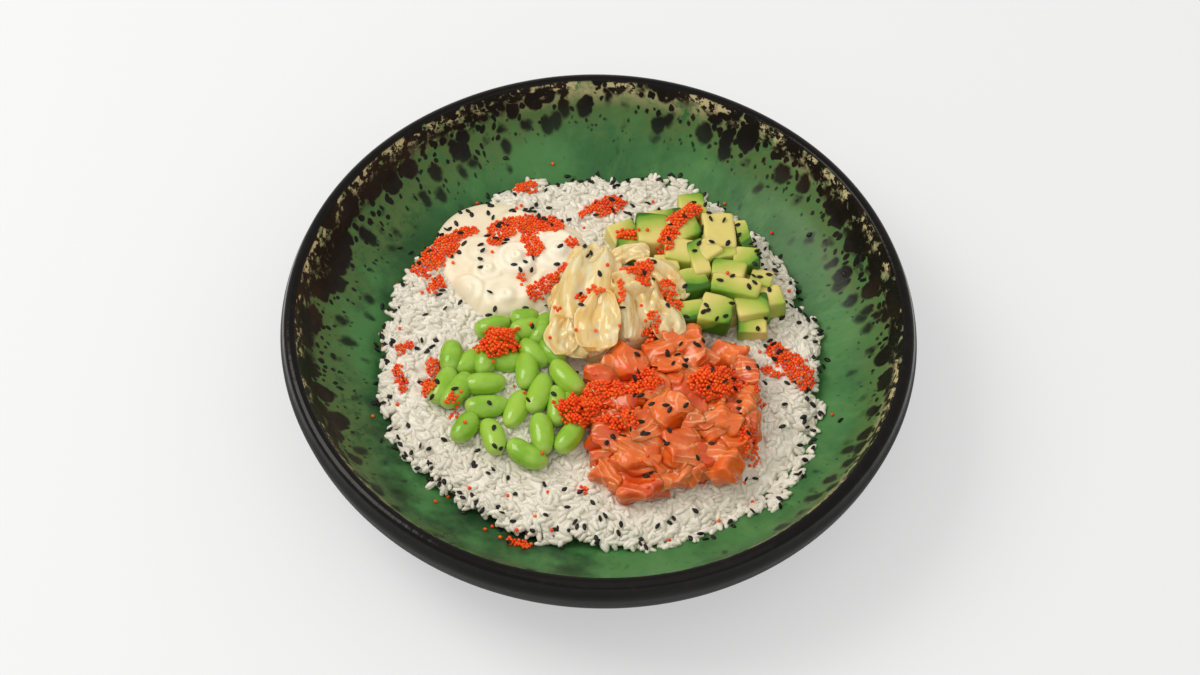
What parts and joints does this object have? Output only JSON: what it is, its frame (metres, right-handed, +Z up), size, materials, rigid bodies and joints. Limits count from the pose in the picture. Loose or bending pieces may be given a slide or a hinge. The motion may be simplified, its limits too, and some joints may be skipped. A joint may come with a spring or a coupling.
{
  "type": "salmon rice bowl",
  "caption": "Low round stoneware bowl filled with rice and heaps of diced salmon, avocado, green soya beans, cream cheese and pickled ginger, with roe and black sesame.",
  "frame": {"origin": "on the table under the middle of the foot ring", "axes": "+Z up, +Y away from the person eating, +X to that person's right"},
  "size_m": [0.25, 0.25, 0.052],
  "materials": {
    "glazed_stoneware": "green reactive glaze inside, black mottled band at the lip, dark satin outside",
    "cooked_rice": "moist and soft white",
    "cream": "smooth satin",
    "soya_bean": "glossy skin",
    "avocado_flesh": "moist cut flesh",
    "raw_salmon": "wet and glossy",
    "ginger_slice": "wet and translucent"
  },
  "bodies": {
    "root": {"bowl": "glazed_stoneware", "rice": "cooked_rice", "cream_cheese": "cream", "edamame": "soya_bean", "avocado": "avocado_flesh", "salmon": "raw_salmon", "pickled_ginger": "ginger_slice"}
  },
  "joints": []
}
